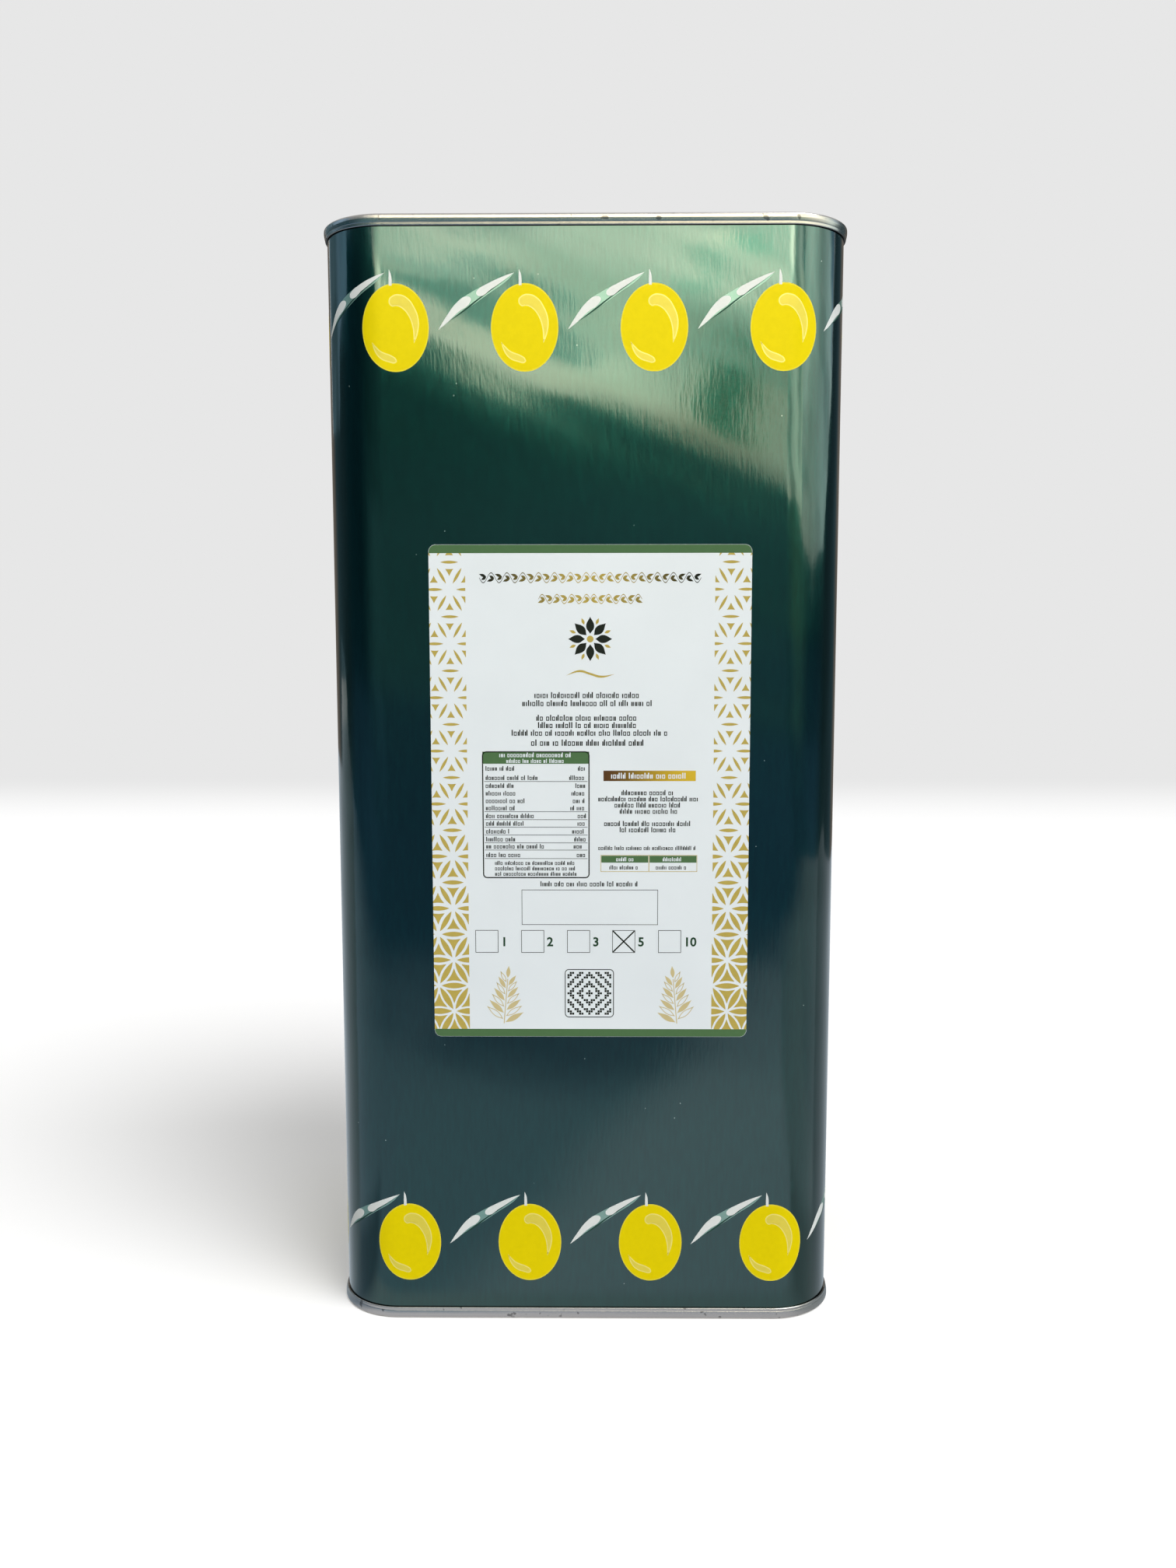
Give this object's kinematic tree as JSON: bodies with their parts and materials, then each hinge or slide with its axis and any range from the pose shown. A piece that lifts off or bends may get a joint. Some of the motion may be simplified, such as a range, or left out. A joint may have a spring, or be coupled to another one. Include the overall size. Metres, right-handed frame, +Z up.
{
  "type": "oil tin",
  "caption": "Tall oblong tinplate oil can with rounded corners, double-seamed ends, drop handle, pull-up pouring spout under a screw cap, printed wall and front label.",
  "frame": {"origin": "middle of the surface that the tin stands on", "axes": "+Z up, +X to the right of the labelled front, the front faces -Y"},
  "size_m": [0.1508, 0.1208, 0.3346],
  "materials": {
    "lacquered_tinplate": "glossy translucent lacquer over tinplate",
    "bare_tinplate": "bright tin coating",
    "label_print": "coated paper",
    "spout_plastic": "natural polyethylene",
    "cap_plastic": "moulded polyethylene",
    "handle_plastic": "fine moulded texture",
    "seam_rubber": "sealing compound",
    "liner_foam": "foamed polyethylene"
  },
  "bodies": {
    "tin": {"body_shell": "lacquered_tinplate", "top_end": "bare_tinplate", "bottom_end": "bare_tinplate", "top_seam_compound": "seam_rubber", "bottom_seam_compound": "seam_rubber", "front_label": "label_print", "handle_bracket_left": "bare_tinplate", "handle_bracket_right": "bare_tinplate", "spout_gasket": "seam_rubber", "spout_collar": "spout_plastic"},
    "handle": {"carry_handle": "handle_plastic"},
    "spout": {"pour_spout": "spout_plastic", "tamper_band": "cap_plastic"},
    "seal": {"spout_seal": "spout_plastic"},
    "liner": {"cap_liner": "liner_foam"},
    "cap": {"cap_shell": "cap_plastic"}
  },
  "joints": [
    {"name": "handle_swing", "type": "hinge", "parent": "tin", "child": "handle", "pos_m": [0, 0, 0.3189], "axis": [-1, 0, 0], "range_deg": [0, 105]},
    {"name": "spout_pull", "type": "slide", "parent": "tin", "child": "spout", "axis": [0, 0, 1], "range_m": [0, 0.0205]},
    {"name": "seal_lift", "type": "slide", "parent": "spout", "child": "seal", "axis": [0, 0, 1], "range_m": [0, 0.06]},
    {"name": "cap_rise", "type": "slide", "parent": "seal", "child": "liner", "axis": [0, 0, 1], "range_m": [0, 0.0081]},
    {"name": "cap_turn", "type": "hinge", "parent": "liner", "child": "cap", "pos_m": [0.047, 0.032, 0.33], "axis": [0, 0, 1], "range_deg": [0, 720]}
  ],
  "couplings": [
    {"joint": "cap_rise", "follows": "cap_turn", "m_per_rad": 0.00063662}
  ]
}
